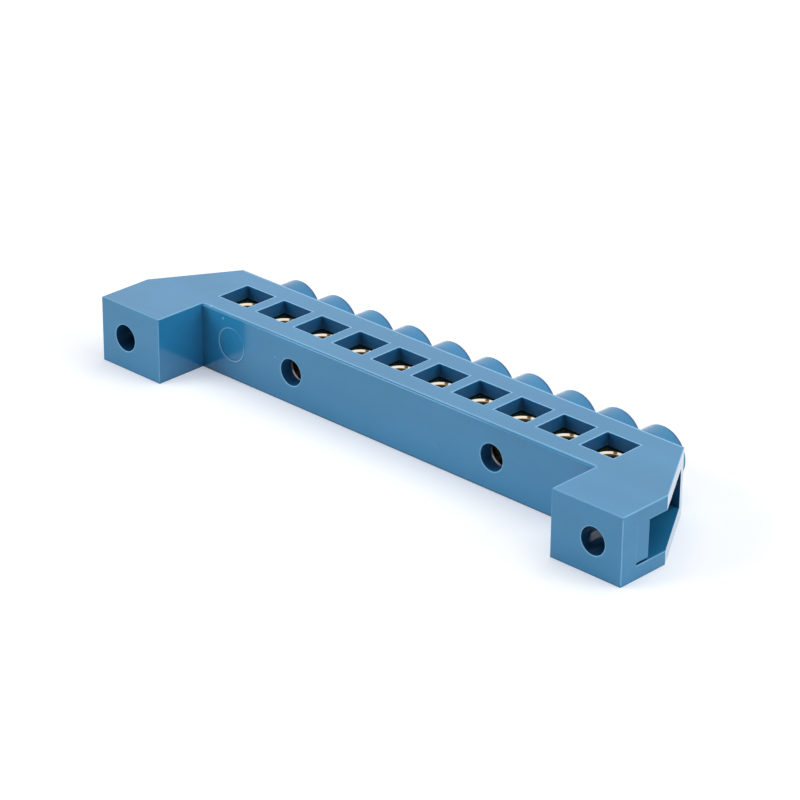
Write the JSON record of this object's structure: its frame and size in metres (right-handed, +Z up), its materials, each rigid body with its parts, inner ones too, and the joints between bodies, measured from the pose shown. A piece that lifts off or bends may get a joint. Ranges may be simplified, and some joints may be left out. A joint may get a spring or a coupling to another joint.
{
  "type": "earth terminal bar",
  "caption": "Screw terminal bar: a brass bar with headless clamp screws in a bridge-shaped insulating housing with fixing feet, square screw pockets and round wire-entry barrels.",
  "frame": {"origin": "centre of the part's footprint, on the flat underside", "axes": "+X along the bar, +Y towards the wire entries and away from the feet, +Z up out of the screw pockets"},
  "size_m": [0.103, 0.027, 0.0104],
  "materials": {
    "housing_plastic": "satin moulded blue plastic",
    "bar_brass": "bright machined brass",
    "screw_steel": "bright zinc-plated steel"
  },
  "bodies": {
    "housing": {"housing": "housing_plastic", "brass_bar": "bar_brass"},
    "clamp_screw_01": {"clamp_screw_01": "screw_steel"},
    "clamp_screw_02": {"clamp_screw_02": "screw_steel"},
    "clamp_screw_03": {"clamp_screw_03": "screw_steel"},
    "clamp_screw_04": {"clamp_screw_04": "screw_steel"},
    "clamp_screw_05": {"clamp_screw_05": "screw_steel"},
    "clamp_screw_06": {"clamp_screw_06": "screw_steel"},
    "clamp_screw_07": {"clamp_screw_07": "screw_steel"},
    "clamp_screw_08": {"clamp_screw_08": "screw_steel"},
    "clamp_screw_09": {"clamp_screw_09": "screw_steel"},
    "clamp_screw_10": {"clamp_screw_10": "screw_steel"}
  },
  "joints": [
    {"name": "clamp_screw_01_travel", "type": "slide", "parent": "housing", "child": "clamp_screw_01", "axis": [0, 0, 1], "range_m": [0, 0.0038]},
    {"name": "clamp_screw_02_travel", "type": "slide", "parent": "housing", "child": "clamp_screw_02", "axis": [0, 0, 1], "range_m": [0, 0.0038]},
    {"name": "clamp_screw_03_travel", "type": "slide", "parent": "housing", "child": "clamp_screw_03", "axis": [0, 0, 1], "range_m": [0, 0.0038]},
    {"name": "clamp_screw_04_travel", "type": "slide", "parent": "housing", "child": "clamp_screw_04", "axis": [0, 0, 1], "range_m": [0, 0.0038]},
    {"name": "clamp_screw_05_travel", "type": "slide", "parent": "housing", "child": "clamp_screw_05", "axis": [0, 0, 1], "range_m": [0, 0.0038]},
    {"name": "clamp_screw_06_travel", "type": "slide", "parent": "housing", "child": "clamp_screw_06", "axis": [0, 0, 1], "range_m": [0, 0.0038]},
    {"name": "clamp_screw_07_travel", "type": "slide", "parent": "housing", "child": "clamp_screw_07", "axis": [0, 0, 1], "range_m": [0, 0.0038]},
    {"name": "clamp_screw_08_travel", "type": "slide", "parent": "housing", "child": "clamp_screw_08", "axis": [0, 0, 1], "range_m": [0, 0.0038]},
    {"name": "clamp_screw_09_travel", "type": "slide", "parent": "housing", "child": "clamp_screw_09", "axis": [0, 0, 1], "range_m": [0, 0.0038]},
    {"name": "clamp_screw_10_travel", "type": "slide", "parent": "housing", "child": "clamp_screw_10", "axis": [0, 0, 1], "range_m": [0, 0.0038]}
  ]
}
